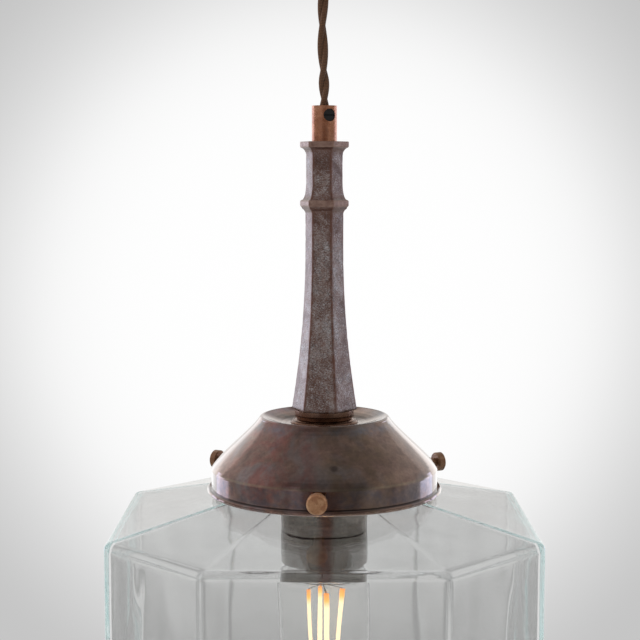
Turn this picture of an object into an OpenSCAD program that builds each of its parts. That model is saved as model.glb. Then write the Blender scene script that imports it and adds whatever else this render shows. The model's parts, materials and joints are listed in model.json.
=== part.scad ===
// Pendant light: a cast six-sided column and a spun gallery hang from a twisted flex,
// and carry an eight-sided clear glass shade round one lamp.
// Millimetres, +Z up. The origin is the middle of the ceiling strap's top face.

/* [Ceiling rose] */
// Diameter of the cover at the ceiling
cover_d = 92; // [84:1:110]
// Depth of the cover below the ceiling
cover_h = 28; // [26:1:40]
// Height of the cover's straight band
cover_band = 9; // [8:0.5:12]
// Thickness of the cover's sheet
cover_wall = 1.2; // [0.8:0.1:1.6]
// Width of the ceiling strap
strap_w = 16; // [14:1:20]
// Thickness of the ceiling strap
strap_t = 2; // [1.5:0.1:2.5]
// Distance between the middles of the strap's slots
slot_pitch = 60; // [56:1:64]
// Length of each slot from end to end
slot_l = 12; // [8:1:14]
// Width of each slot
slot_w = 4.5; // [4:0.1:5.5]
// Thread diameter of the cover's side screws
side_screw_d = 4; // [3:0.5:4.5]
// Width of the terminal block across its two poles
block_w = 18; // [16:1:20]
// Length of the terminal block along its poles
block_l = 17; // [15:1:19]
// Height of the terminal block
block_h = 12; // [11:0.5:13]

/* [Flex and cord grips] */
// Diameter of each braided core of the twisted flex
core_d = 2.6; // [2.2:0.1:2.8]
// Free length of flex between the two cord grips
flex_drop = 58; // [50:1:200]
// Outer diameter of the cord grips
grip_d = 12.2; // [11.6:0.1:13]
// Length of the tube of each cord grip
grip_l = 17.2; // [16:0.2:22]
// Diameter of the grub screw in each cord grip
grub_d = 6; // [4:0.5:7]
// Distance from the mouth of a cord grip to the middle of its grub screw
grub_in = 4.6; // [4:0.2:6]
// Direction of the grub screws, turned from the front towards +X
grub_turn = 26; // [0:1:90]

/* [Column] */
// Height of the column
column_h = 131; // [120:1:180]
// Width of the column's foot across its corners
foot_w = 32.8; // [28:0.2:40]
// Width of the column's waist across its corners
waist_w = 19; // [17:0.2:21]
// Width of the neck between the collars across its corners
neck_w = 18.2; // [17:0.2:20]
// Width of both collars across their corners
collar_w = 24.2; // [22:0.2:28]
// Height of each collar's edge
collar_t = 2.6; // [1.6:0.1:3]
// Distance from the top of the column to the top of the lower collar
collar_drop = 28.5; // [24:0.5:34]
// Turn of the column about its axis
column_turn = -8.7; // [-30:0.1:30]
// Outer diameter of the threaded tube through the column
rod_d = 10; // [9.4:0.1:10]
// Bore of the threaded tube
rod_bore = 7; // [6.4:0.1:7.4]
// Diameter of the upper step of the seat ring under the column
seat_d = 29.2; // [26:0.2:32]
// Diameter of the flange of the seat ring
seat_flange_d = 33.1; // [30:0.1:36]
// Height of the seat ring
seat_h = 7.35; // [6:0.05:10]

/* [Gallery] */
// Gap between the neck's lip and the inside of the gallery's band
neck_gap = 5.4; // [5:0.1:8]
// Height of the band
band_h = 9.3; // [8.6:0.1:11]
// Diameter of the gallery's top edge
crown_d = 64.6; // [60:0.2:70]
// Height of the top edge above the band's foot
crown_h = 35; // [33:0.5:42]
// Depth of the dished top
dish_drop = 4.2; // [3:0.1:5]
// Height of the rolled bead at the band's foot
bead_h = 2.5; // [2:0.1:3]
// Distance that the bead stands out from the band
bead_out = 2.1; // [1.5:0.1:2.6]
// Thickness of the gallery's sheet
gallery_wall = 1; // [0.7:0.1:1.3]

/* [Thumb screws] */
// Diameter of the thumb screws' heads
head_d = 9.6; // [8:0.2:11]
// Thickness of the heads
head_t = 4.2; // [3:0.1:6]
// Distance from the band to the back of the heads
head_stand = 8.4; // [7:0.1:11]
// Thread diameter of the thumb screws
thumb_d = 4; // [3:0.5:4.5]
// Height of the thumb screws' axis above the band's foot
thumb_z = 5.6; // [5.2:0.1:6]
// Turn of the front thumb screw from the front
thumb_turn = -3; // [-60:1:60]

/* [Glass shade] */
// Width of the shade across its four broad walls
shade_w = 203.6; // [180:0.2:240]
// Width of each broad wall
wall_w = 109; // [90:1:120]
// Thickness of the glass
glass_wall = 3.5; // [2.6:0.1:4]
// Rounding of the shade's corners outside
glass_round = 3.5; // [3:0.5:6]
// Rounding of the shade's corners inside, where the glass is thicker
glass_fillet = 6; // [2:0.5:10]
// Height of the straight walls
skirt_h = 149; // [130:1:180]
// Drop from the band's foot to the edge of the shoulder
shoulder_drop = 16; // [15:0.5:22]
// Rise that the shoulder's slopes would reach at the axis
shoulder_rise = 24; // [20:0.5:26]
// Outer diameter of the neck
neck_d = 95; // [90:0.5:96]
// Distance that the neck's lip stands out
lip_out = 2; // [1:0.1:2.2]
// Height of the neck's lip
lip_h = 3.6; // [2.5:0.1:4]

/* [Lampholder] */
// Outer diameter of the lampholder
holder_d = 43; // [41:0.5:45]
// Drop from the band's foot to the lampholder's mouth
holder_drop = 41; // [40:0.5:46]
// Drop from the band's foot to the joint of the lampholder's cap and skirt
joint_drop = 24.2; // [22:0.2:26]
// Thickness of the lampholder's shell
holder_wall = 1; // [0.8:0.1:1.2]
// Diameter of the threaded boss on the lampholder's cap
boss_d = 16; // [14:0.5:18]

/* [Lamp] */
// Diameter of the lamp's screw cap
cap_d = 26.4; // [26:0.1:26.6]
// Diameter of the lamp's envelope
bulb_d = 46; // [40:0.5:50]
// Length of the lamp's envelope below the lampholder
bulb_l = 84; // [76:1:110]
// Thickness of the envelope
bulb_wall = 0.9; // [0.6:0.1:1.1]
// Length of each filament
filament_l = 50; // [40:1:56]
// Diameter of each filament
filament_d = 2.2; // [1.6:0.1:2.6]
// Distance of the filaments' upper ends from the lamp's axis
filament_out = 8; // [6:0.1:9]

/* [Hidden] */
$fn = 96;

// Clearances: a running thread, a loose bore, and pieces that only lie beside each other
run_gap = 0.05;
bore_gap = 0.2;
seat_gap = 0.3;

// Heights, counted down from the ceiling
cover_low_z = -cover_h;
rose_mouth_z = cover_low_z - grip_l;
grip_top_z = rose_mouth_z - flex_drop;
column_top_z = grip_top_z - grip_l;
seat_top_z = column_top_z - column_h;
dish_z = seat_top_z - seat_h;
rim_z = dish_z - crown_h + dish_drop;
screw_z = rim_z + thumb_z;
shoulder_z = rim_z - shoulder_drop;
mouth_z = rim_z - holder_drop;
joint_z = rim_z - joint_drop;

// Ceiling rose
cover_r = cover_d / 2;
cover_in_r = cover_r - cover_wall;
strap_half = sqrt(cover_in_r * cover_in_r - strap_w * strap_w / 4) - seat_gap;
side_screw_z = -cover_band / 2;
side_screw_l = 8;
side_head_d = 7;
side_head_t = 2.5;
grip_hole_r = rod_d / 2 + bore_gap;
rose_shank_l = 8;
rose_shank_z = cover_low_z + rose_shank_l;
nut_t = 4;
nut_w = 16;
block_x = 12;
block_low_z = -strap_t - block_h;
pole_z = -strap_t - block_h / 2;
pole_x = [block_x - block_w / 4, block_x + block_w / 4];
pole_r = 2;
wire_r = 0.8;
clamp_screw_r = 1.3;
// Lead vectors of the curve that each core follows to its pole
core_lead = [[0, -7, 1.5], [0, -14, -6]];

// Flex and cord grips
core_r = core_d / 2;
flex_r = core_d;
grip_r = grip_d / 2;
grip_bore_r = flex_r + 0.5;
rod_r = rod_d / 2;
grip_thread_l = 8;
grub_r = grub_d / 2;
grub_recess = 0.7;
slot_depth = 0.8;
// The free flex hangs straight: shares of the way down from the upper grip to the lower one
flex_steps = [0, 0.25, 0.5, 0.75, 1];

// Column, as half widths across the corners
foot_r = foot_w / 2;
waist_r = waist_w / 2;
neck_r = neck_w / 2;
collar_r = collar_w / 2;
collar_bevel = 2;
rod_low_z = rim_z + 9;
rod_top_z = column_top_z + grip_thread_l;

// Gallery
band_r = neck_d / 2 + lip_out + neck_gap + gallery_wall;
crown_r = crown_d / 2;
edge_r = gallery_wall + 0.6;
seat_r = seat_d / 2;
flange_r = seat_flange_d / 2;
washer_t = 1.5;
washer_r = 11;
gallery_in_z = dish_z - gallery_wall;

// Thumb screws
thumb_r = thumb_d / 2;
bush_r = thumb_r + 2.4;
spigot_r = thumb_r + 1;
bush_l = 4;
bush_flat = band_h - thumb_z - 0.6;
bush_out = sqrt(pow(band_r - gallery_wall, 2) - bush_r * bush_r) - run_gap;
head_r = head_d / 2;
tip_at = neck_d / 2 + seat_gap;
thumb_turns = [thumb_turn, thumb_turn + 120, thumb_turn + 240];

// Glass shade: broad walls stand at shade_b, and their corners at half of wall_w
shade_b = shade_w / 2;
shade_a = wall_w / 2;
shoulder_slope = atan(shoulder_rise / shade_b);
shade_low_z = shoulder_z - skirt_h;
crown_share = 0.36;
neck_out_r = neck_d / 2;
neck_in_r = neck_out_r - glass_wall;
lip_low_z = screw_z + thumb_r + seat_gap;
lip_top_z = lip_low_z + lip_h;

// Lampholder
holder_r = holder_d / 2;
holder_in_r = holder_r - holder_wall;
boss_r = boss_d / 2;
boss_top_z = rim_z + 19;
dome_z = rim_z + 2;
spigot_l = 7;
lip_in_r = cap_d / 2 + 1.5;
insert_r = holder_in_r - holder_wall - 3 * bore_gap;
insert_low_z = mouth_z + holder_wall + seat_gap;
insert_top_z = rim_z - 3;
shell_r = cap_d / 2 + 1.3;
shell_wall = 0.9;
shell_top_z = rim_z - 12;
terminal_x = 11;
terminal_w = 5;
terminal_h = 6;
terminal_low_z = insert_top_z - terminal_h;
leaf_w = 5;
leaf_t = 0.5;
leaf_hole_r = 6;
leaf_bend_x = 3;

// Lamp
cap_r = cap_d / 2;
cap_wall = 0.5;
cap_low_z = mouth_z - 1;
cap_l = 23.5;
tip_l = 4.2;
cap_top_z = cap_low_z + cap_l;
tip_z = cap_top_z + tip_l;
bulb_r = bulb_d / 2;
bulb_low_z = mouth_z - bulb_l;
bulb_neck_r = cap_r - cap_wall - 0.4;
bulb_shoulder = 5;
filament_drop = 12;
filament_top_z = mouth_z - filament_drop;
filament_low_z = filament_top_z - filament_l;
filament_in = 0.62;
filament_turn = -80;
filament_twist = 8;
press_drop = 8;
press_z = mouth_z - press_drop;
lead_r = 0.35;
// A slanting wire stops this far short of the face that it is welded to
weld_gap = [0, 0, lead_r + run_gap];

// Points along a cubic curve from a to d, led by b and c
function curve(a, b, c, d, n) =
    [for (i = [0:n]) let (t = i / n, s = 1 - t)
        s * s * s * a + 3 * s * s * t * b + 3 * s * t * t * c + t * t * t * d];

// Points along a circle's arc
function arc(centre, r, from, to, n) =
    [for (i = [0:n]) let (t = from + (to - from) * i / n) centre + r * [cos(t), sin(t)]];

function unit(v) = v / norm(v);

// The direction to the left of a path at its point i
function left_of(path, i) =
    let (d = unit(path[min(i + 1, len(path) - 1)] - path[max(i - 1, 0)])) [-d.y, d.x];

// The outline of a sheet of thickness t that lies to the left of a path
function sheet(path, t) =
    concat(path, [for (i = [len(path) - 1:-1:0]) path[i] + t * left_of(path, i)]);

// A direction in plan, turned from the front towards +X
function heading(turn) = [sin(turn), -cos(turn), 0];

// Places a piece that was drawn pointing to the front at its turn about the axis
module turned(turn) {
    rotate([0, 0, turn]) children();
}

// A cylinder from the axis outwards to the front, between two distances
module radial_pin(r, from, to, z) {
    translate([0, -from, z]) rotate([90, 0, 0]) cylinder(h = to - from, r = r);
}

module rod_between(a, b, r) {
    d = b - a;
    translate(a) rotate([0, acos(d.z / norm(d)), atan2(d.y, d.x)]) cylinder(h = norm(d), r = r);
}

// A round solid of n sides along a route, with each ring square to the route
module swept(route, r, n) {
    last = len(route) - 1;
    points = [for (i = [0:last])
        let (d = unit(route[min(i + 1, last)] - route[max(i - 1, 0)]),
            u = unit(cross(d, [1, 0, 0])),
            v = cross(d, u))
        for (k = [0:n - 1]) route[i] + r * (cos(360 * k / n) * u + sin(360 * k / n) * v)];
    sides = [for (i = [0:last - 1], k = [0:n - 1])
        let (a = i * n + k, b = i * n + (k + 1) % n)
        each [[a, a + n, b], [b, a + n, b + n]]];
    first_end = [for (k = [0:n - 1]) k];
    last_end = [for (k = [n - 1:-1:0]) last * n + k];
    polyhedron(points = points, faces = concat([first_end], sides, [last_end]), convexity = 6);
}

module hex_nut(z, w, t, hole_r) {
    difference() {
        translate([0, 0, z]) cylinder(h = t, r = w / 2 / cos(30), $fn = 6);
        translate([0, 0, z - 1]) cylinder(h = t + 2, r = hole_r);
    }
}

// Ceiling rose

module strap_slot() {
    cube([slot_l - slot_w, slot_w, strap_t + 2], center = true);
    for (end = [-1, 1])
        translate([end * (slot_l - slot_w) / 2, 0, 0]) cylinder(h = strap_t + 2, d = slot_w, center = true);
}

module rose_strap() {
    color("silver") difference() {
        union() {
            translate([-strap_half, -strap_w / 2, -strap_t]) cube([2 * strap_half, strap_w, strap_t]);
            for (side = [-1, 1])
                translate([side * (strap_half - strap_t / 2), 0, -cover_band / 2])
                    cube([strap_t, strap_w, cover_band], center = true);
        }
        for (side = [-1, 1]) {
            translate([side * slot_pitch / 2, 0, -strap_t / 2]) strap_slot();
            translate([side * (strap_half - strap_t - 1), 0, side_screw_z]) rotate([0, side * 90, 0])
                cylinder(h = strap_t + 2, d = side_screw_d + 2 * run_gap);
        }
    }
}

module rose_cover() {
    path = concat([[grip_hole_r, cover_low_z]],
        curve([cover_r * 0.3, cover_low_z], [cover_r * 0.72, cover_low_z],
            [cover_r - 1, -cover_band - cover_h * 0.3], [cover_r, -cover_band], 14),
        [[cover_r, 0]]);
    color("peru") difference() {
        rotate_extrude() polygon(sheet(path, cover_wall));
        translate([0, 0, side_screw_z]) rotate([0, 90, 0])
            cylinder(h = 2 * cover_r + 2, d = side_screw_d + 2 * bore_gap, center = true);
    }
}

module rose_side_screw(side) {
    color("peru") translate([side * (cover_r + run_gap), 0, side_screw_z])
        rotate([0, side * 90, 0]) difference() {
            union() {
                translate([0, 0, -side_screw_l]) cylinder(h = side_screw_l, d = side_screw_d);
                cylinder(h = side_head_t, d = side_head_d);
            }
            translate([-side_head_d, -0.5, side_head_t - slot_depth])
                cube([2 * side_head_d, 1, slot_depth + 1]);
        }
}

module terminal_block() {
    color("ivory") difference() {
        translate([block_x - block_w / 2, -block_l / 2, block_low_z]) cube([block_w, block_l, block_h]);
        for (x = pole_x) {
            translate([x, 0, pole_z]) rotate([90, 0, 0])
                cylinder(h = block_l + 2, r = pole_r + bore_gap, center = true);
            for (side = [-1, 1])
                translate([x, side * block_l / 4, block_low_z - 1])
                    cylinder(h = pole_z - block_low_z + 1, r = clamp_screw_r + bore_gap);
        }
    }
}

module terminal_tube(x) {
    color("gold") translate([x, 0, pole_z]) difference() {
        rotate([90, 0, 0]) cylinder(h = block_l - 2, r = pole_r, center = true);
        rotate([90, 0, 0]) cylinder(h = block_l, r = wire_r + run_gap, center = true);
        for (side = [-1, 1])
            translate([0, side * block_l / 4, -pole_r - 1])
                cylinder(h = pole_r + 1, r = clamp_screw_r + run_gap);
    }
}

module terminal_screws() {
    top_z = pole_z - wire_r - run_gap;
    color("silver") for (x = pole_x, side = [-1, 1])
        translate([x, side * block_l / 4, block_low_z + 1])
            cylinder(h = top_z - block_low_z - 1, r = clamp_screw_r);
}

// One insulated core from the upper grip round to its pole, with its bare end in the tube
module rose_core(side, x) {
    from = [side * core_r, 0, rose_shank_z];
    rise = from + [0, 0, core_r];
    to = [x, -block_l / 2 - seat_gap, pole_z];
    route = concat([from], curve(rise, rise + core_lead[0], to + core_lead[1], to, 10));
    color("saddlebrown") union() {
        swept(route, core_r - run_gap, 8);
        translate(to - [0, 0.5, 0]) rotate([-90, 0, 0]) cylinder(h = block_l * 0.4, r = wire_r);
    }
}

// A tube that holds the flex, drawn with its mouth up at z = 0
module grip_tube(depth) {
    difference() {
        children();
        translate([0, 0, -depth - 1]) cylinder(h = depth + 2, r = grip_bore_r);
        radial_pin(grub_r + run_gap, 0, grip_r + 1, -grub_in);
    }
}

// A slotted grub screw between the flex and the side of the grip
module grub_screw() {
    difference() {
        radial_pin(grub_r, flex_r + bore_gap, grip_r - grub_recess, -grub_in);
        translate([-grub_r, -grip_r, -grub_in - 0.4]) cube([grub_d, grub_recess + slot_depth, 0.8]);
    }
}

// The upper grip points down out of the cover, and its threaded shank goes up through the nut
module rose_grip() {
    color("chocolate") translate([0, 0, rose_mouth_z]) turned(grub_turn) mirror([0, 0, 1])
        grip_tube(grip_l + rose_shank_l) union() {
            translate([0, 0, -grip_l]) cylinder(h = grip_l, r = grip_r);
            translate([0, 0, -grip_l - rose_shank_l]) cylinder(h = rose_shank_l + 1, r = rod_r);
        }
}

module rose_grip_screw() {
    color("black") translate([0, 0, rose_mouth_z]) turned(grub_turn) mirror([0, 0, 1]) grub_screw();
}

module rose_lock_nut() {
    color("gold") hex_nut(cover_low_z + cover_wall, nut_w, nut_t, rod_r + run_gap);
}

// Flex: the two twisted cores as one plain round, in three stretches that meet end to end

module flex_in_rose() {
    color("saddlebrown") translate([0, 0, rose_mouth_z])
        cylinder(h = rose_shank_z - rose_mouth_z, r = flex_r);
}

module flex() {
    route = [for (s = flex_steps) [0, 0, rose_mouth_z - s * flex_drop]];
    color("saddlebrown") swept(route, flex_r, 8);
}

module flex_in_stem() {
    color("saddlebrown") translate([0, 0, rod_low_z]) cylinder(h = grip_top_z - rod_low_z, r = flex_r);
}

// Stem

module stem_grip() {
    color("chocolate") translate([0, 0, grip_top_z]) turned(grub_turn)
        grip_tube(grip_l) difference() {
            translate([0, 0, -grip_l]) cylinder(h = grip_l, r = grip_r);
            translate([0, 0, -grip_l - 1]) cylinder(h = grip_thread_l + 1 + run_gap, r = rod_r + run_gap);
        }
}

module stem_grip_screw() {
    color("black") translate([0, 0, grip_top_z]) turned(grub_turn) grub_screw();
}

module stem_tube() {
    color("gold") translate([0, 0, rod_low_z]) difference() {
        cylinder(h = rod_top_z - rod_low_z, r = rod_r);
        translate([0, 0, -1]) cylinder(h = rod_top_z - rod_low_z + 2, d = rod_bore);
    }
}

// Half widths and heights down the column, from its top collar to its foot
function column_path() =
    let (low = -collar_drop, foot = -column_h)
    concat([[collar_r, 0], [collar_r, -collar_t]],
        curve([collar_r - 0.4, -collar_t - 0.3], [collar_r - 1.5, -collar_t - 0.7],
            [neck_r + 0.1, -collar_t - 1.8], [neck_r, -collar_t - 4.4], 5),
        curve([neck_r, low + 9], [neck_r + 0.1, low + 5], [neck_r + 0.5, low + 1.8],
            [collar_r - 1.2, low + 0.5], 6),
        [[collar_r, low], [collar_r, low - collar_t], [collar_r - 0.7, low - collar_t - 0.6],
            [waist_r + 0.9, low - collar_t - collar_bevel], [waist_r, low - collar_t - 3.8]],
        curve([waist_r, foot + 88], [waist_r - 0.3, foot + 56], [waist_r + 1.8, foot + 31],
            [foot_r, foot], 16));

// Two opposite faces of the column, cut square through
module column_slab() {
    half = [for (p = column_path()) [p.x * cos(30), p.y]];
    other = [for (i = [len(half) - 1:-1:0]) [-half[i].x, half[i].y]];
    rotate([90, 0, 0]) linear_extrude(1.3 * max(foot_w, collar_w), center = true)
        polygon(concat(half, other));
}

module column() {
    color("dimgray") translate([0, 0, column_top_z]) difference() {
        rotate([0, 0, column_turn]) intersection() {
            rotate([0, 0, 90]) column_slab();
            rotate([0, 0, 30]) column_slab();
            rotate([0, 0, -30]) column_slab();
        }
        translate([0, 0, -column_h - 1]) cylinder(h = column_h + 2, r = rod_r + bore_gap);
    }
}

module column_seat() {
    step_h = seat_h * 0.47;
    color("saddlebrown") translate([0, 0, dish_z]) rotate_extrude()
        polygon([[rod_r + bore_gap, 0], [flange_r - 0.3, 0], [flange_r, 0.4], [flange_r, 1.4],
            [flange_r - 0.7, 2], [seat_r + 0.3, 2.2], [seat_r - 0.8, seat_h - step_h - 0.9],
            [seat_r - 0.8, seat_h - step_h - 0.2], [seat_r, seat_h - step_h], [seat_r, seat_h],
            [rod_r + bore_gap, seat_h]]);
}

// Gallery

// The outside of the gallery, from the band's foot up over the cone and into the dished top
function gallery_path() =
    let (edge = [crown_r - edge_r, crown_h - edge_r],
        start = edge + edge_r * [cos(20), sin(20)],
        end = edge + edge_r * [cos(115), sin(115)],
        floor_z = crown_h - dish_drop,
        ridge = [band_r - 0.3, band_h])
    concat([[band_r, 0], [band_r, band_h - 0.6]],
        curve(ridge, ridge + [-2.9, 5.7], start + [4.2, -6.4], start, 14),
        arc(edge, edge_r, 30, 105, 4),
        curve(end, end + [-4, -2], [flange_r + 5, floor_z], [flange_r + 0.6, floor_z], 6),
        [[rod_r + bore_gap, floor_z]]);

module gallery() {
    outside = gallery_path();
    bead = concat([[band_r - gallery_wall, -bead_h]],
        arc([band_r + bead_out - bead_h / 2, -bead_h / 2], bead_h / 2, -90, 90, 8));
    color("sienna") translate([0, 0, rim_z]) difference() {
        rotate_extrude() polygon(concat(bead, sheet(outside, gallery_wall)));
        for (turn = thumb_turns)
            turned(turn) radial_pin(spigot_r + run_gap, band_r - 6, band_r + 6, thumb_z);
    }
}

module gallery_washer() {
    color("gold") translate([0, 0, gallery_in_z - washer_t]) difference() {
        cylinder(h = washer_t, r = washer_r);
        translate([0, 0, -1]) cylinder(h = washer_t + 2, r = rod_r + bore_gap);
    }
}

module gallery_nut() {
    color("gold") hex_nut(gallery_in_z - washer_t - nut_t, nut_w, nut_t, rod_r + run_gap);
}

// The tapped bush inside the band that a thumb screw runs in
module thumb_bush(turn) {
    color("gold") turned(turn) difference() {
        union() {
            intersection() {
                radial_pin(bush_r, bush_out - bush_l, bush_out, screw_z);
                translate([-bush_r, -band_r, screw_z - bush_flat]) cube([2 * bush_r, band_r, 2 * bush_flat]);
            }
            radial_pin(spigot_r, bush_out - 1, band_r - 0.1, screw_z);
        }
        radial_pin(thumb_r + run_gap, bush_out - bush_l - 1, band_r + 1, screw_z);
    }
}

module thumb_screw(turn) {
    back = band_r + head_stand;
    color("peru") turned(turn) union() {
        radial_pin(thumb_r, tip_at, back + 1, screw_z);
        translate([0, -back, screw_z]) rotate([90, 0, 0]) rotate_extrude()
            polygon([[0, 0], [head_r - 0.5, 0], [head_r, 0.5], [head_r, head_t - 0.8],
                [head_r - 0.7, head_t - 0.15], [0, head_t]]);
    }
}

// Glass shade

// The eight corners of the shade, moved in from the walls by a distance
function corners(inset) =
    let (a = shade_a - inset * (sqrt(2) - 1), b = shade_b - inset)
    [[a, -b], [b, -a], [b, a], [a, b], [-a, b], [-b, a], [-b, -a], [-a, -b]];

// The height of a ball that touches both a wall and its slope from inside
function ball_z(inset) = shoulder_z + inset * (tan(shoulder_slope) - 1 / cos(shoulder_slope));

// The shade as a full block: its corners are rounded by r, and its faces lie inset from the glass
module shade_block(inset, r, low_z) {
    crown_z = shoulder_z + shoulder_rise * (1 - crown_share) - inset / cos(shoulder_slope);
    hull() {
        for (p = corners(inset + r)) {
            translate([p.x, p.y, ball_z(inset + r)]) sphere(r = r, $fn = 24);
            translate([p.x, p.y, low_z]) cylinder(h = 1, r = r, $fn = 24);
        }
        translate([0, 0, crown_z - 0.1]) linear_extrude(0.1)
            polygon([for (p = corners(0)) crown_share * p]);
    }
}

module glass_shade() {
    foot_z = shoulder_z + shoulder_rise * (1 - crown_share) - glass_wall;
    color("lightcyan", 0.35) difference() {
        union() {
            shade_block(0, glass_round, shade_low_z);
            translate([0, 0, foot_z]) cylinder(h = lip_top_z - foot_z, r = neck_out_r);
            rotate_extrude() polygon([[neck_in_r, lip_low_z], [neck_out_r + lip_out - 0.5, lip_low_z],
                [neck_out_r + lip_out, lip_low_z + 0.5], [neck_out_r + lip_out, lip_top_z - 1.2],
                [neck_out_r + lip_out - 1.2, lip_top_z], [neck_in_r, lip_top_z]]);
        }
        shade_block(glass_wall, glass_fillet, shade_low_z - 2);
        translate([0, 0, shoulder_z]) cylinder(h = lip_top_z - shoulder_z + 1, r = neck_in_r);
    }
}

// Lampholder

module holder_cap() {
    dome = curve([holder_r, dome_z], [holder_r, dome_z + 8], [boss_r + 6, boss_top_z - 7],
        [boss_r, boss_top_z - 6], 8);
    inner_dome = curve([boss_r - 1, boss_top_z - 6 - holder_wall],
        [boss_r + 5.4, boss_top_z - 7 - holder_wall],
        [holder_in_r, dome_z + 7.4], [holder_in_r, dome_z], 8);
    color("dimgray") rotate_extrude()
        polygon(concat([[holder_r - 0.3, joint_z], [holder_r, joint_z + 0.3]], dome,
            [[boss_r, boss_top_z - 0.4], [boss_r - 0.4, boss_top_z], [rod_r + run_gap, boss_top_z],
                [rod_r + run_gap, boss_top_z - 7 - holder_wall]],
            inner_dome, [[holder_in_r, joint_z]]));
}

module holder_skirt() {
    spigot_top_z = joint_z + spigot_l;
    spigot_out_r = holder_in_r - run_gap;
    color("dimgray") rotate_extrude()
        polygon([[lip_in_r, mouth_z], [holder_r - 0.8, mouth_z], [holder_r, mouth_z + 0.8],
            [holder_r, joint_z - 0.5], [holder_r - 0.5, joint_z], [spigot_out_r, joint_z],
            [spigot_out_r, spigot_top_z], [spigot_out_r - holder_wall, spigot_top_z],
            [spigot_out_r - holder_wall, mouth_z + holder_wall], [lip_in_r, mouth_z + holder_wall]]);
}

module holder_insert() {
    pocket = terminal_w + 2 * bore_gap;
    color("white") difference() {
        translate([0, 0, insert_low_z]) cylinder(h = insert_top_z - insert_low_z, r = insert_r);
        translate([0, 0, insert_low_z - 1])
            cylinder(h = shell_top_z - insert_low_z + 1 + bore_gap, r = shell_r + bore_gap);
        for (side = [-1, 1])
            translate([side * terminal_x, 0, insert_top_z]) {
                cube([pocket, pocket, 2 * (terminal_h + bore_gap)], center = true);
                translate([0, -insert_r / 2, -terminal_h / 2]) rotate([90, 0, 0])
                    cylinder(h = insert_r, r = clamp_screw_r + bore_gap, center = true);
            }
        translate([-terminal_x - terminal_w / 2, -leaf_w / 2 - bore_gap, shell_top_z])
            cube([terminal_x + terminal_w / 2 + leaf_bend_x + leaf_t + bore_gap, leaf_w + 2 * bore_gap,
                terminal_low_z - shell_top_z]);
        translate([terminal_x, 0, shell_top_z]) cylinder(h = terminal_h, r = 1.5 + bore_gap);
    }
}

module thread_shell() {
    color("gold") translate([0, 0, insert_low_z]) difference() {
        cylinder(h = shell_top_z - insert_low_z, r = shell_r);
        translate([0, 0, -1])
            cylinder(h = shell_top_z - insert_low_z + 1 - shell_wall, r = shell_r - shell_wall);
        cylinder(h = shell_top_z - insert_low_z + 1, r = leaf_hole_r);
    }
}

// The sprung leaf from the first terminal to the lamp's end contact
module centre_contact() {
    top_z = terminal_low_z - bore_gap;
    end_z = tip_z + seat_gap;
    path = [[-terminal_x - 1, top_z], [leaf_bend_x / 2, top_z], [leaf_bend_x, top_z - 0.8],
        [leaf_bend_x - 0.6, top_z - 1.8],
        [-0.6, end_z + leaf_t]];
    color("gold") rotate([90, 0, 0]) linear_extrude(leaf_w, center = true)
        polygon(sheet(path, -leaf_t));
}

module side_contact() {
    color("gold") translate([terminal_x, 0, shell_top_z])
        cylinder(h = terminal_low_z - shell_top_z, r = 1.5);
}

module holder_terminal(side) {
    color("gold") translate([side * terminal_x, 0, terminal_low_z]) difference() {
        translate([-terminal_w / 2, -terminal_w / 2, 0]) cube([terminal_w, terminal_w, terminal_h]);
        translate([0, 0, terminal_h / 2 - 1.5]) cylinder(h = terminal_h, r = wire_r + run_gap);
        translate([0, -terminal_w / 2, terminal_h / 2]) rotate([90, 0, 0])
            cylinder(h = terminal_w, r = clamp_screw_r + run_gap, center = true);
    }
}

module holder_terminal_screw(side) {
    color("silver") translate([side * terminal_x, -wire_r - run_gap, terminal_low_z + terminal_h / 2])
        rotate([90, 0, 0]) cylinder(h = 6, r = clamp_screw_r);
}

module holder_core(side) {
    from = [side * core_r, 0, rod_low_z];
    to = [side * terminal_x, 0, insert_top_z + core_r];
    route = concat([from], curve(from - [0, 0, 1], from - [0, 0, 6], to + [0, 0, 7], to, 8));
    color("saddlebrown") union() {
        swept(route, core_r - run_gap, 8);
        translate(to - [0, 0, core_r + terminal_h / 2]) cylinder(h = core_r + terminal_h / 2 + 0.5, r = wire_r);
    }
}

// Lamp

module bulb_envelope() {
    neck_top_z = mouth_z + 8;
    path = concat(
        curve([0, bulb_low_z], [bulb_r * 0.62, bulb_low_z], [bulb_r, bulb_low_z + bulb_r * 0.35],
            [bulb_r, bulb_low_z + bulb_r * 0.95], 12),
        arc([bulb_r - bulb_shoulder, cap_low_z - 1.6 - bulb_shoulder], bulb_shoulder, 0, 84, 6),
        curve([bulb_neck_r + 3, cap_low_z - 1.4], [bulb_neck_r + 1, cap_low_z - 1.2],
            [bulb_neck_r, cap_low_z - 0.6], [bulb_neck_r, cap_low_z + 0.6], 4),
        [[bulb_neck_r, neck_top_z]]);
    inside = [for (i = [len(path) - 1:-1:1]) path[i] + bulb_wall * left_of(path, i)];
    color("white", 0.25) rotate_extrude()
        polygon(concat(path, inside, [[0, bulb_low_z + bulb_wall]]));
}

module bulb_cap() {
    path = [[cap_r, cap_low_z], [cap_r, cap_top_z - 2.4], [cap_r - 1.8, cap_top_z - 0.3],
        [cap_r - 2.8, cap_top_z]];
    color("silver") rotate_extrude() polygon(sheet(path, cap_wall));
}

module bulb_insulator() {
    rim_r = cap_r - 3.1;
    color("black") rotate_extrude()
        polygon([[0, cap_top_z - 1.6], [rim_r, cap_top_z - 1.6], [rim_r, cap_top_z],
            [cap_r * 0.4, tip_z - 1], [0, tip_z - 1]]);
}

module bulb_contact() {
    color("silver") rotate_extrude()
        polygon([[0, tip_z - 1], [cap_r * 0.36, tip_z - 1], [cap_r * 0.3, tip_z - 0.3], [0, tip_z]]);
}

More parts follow.
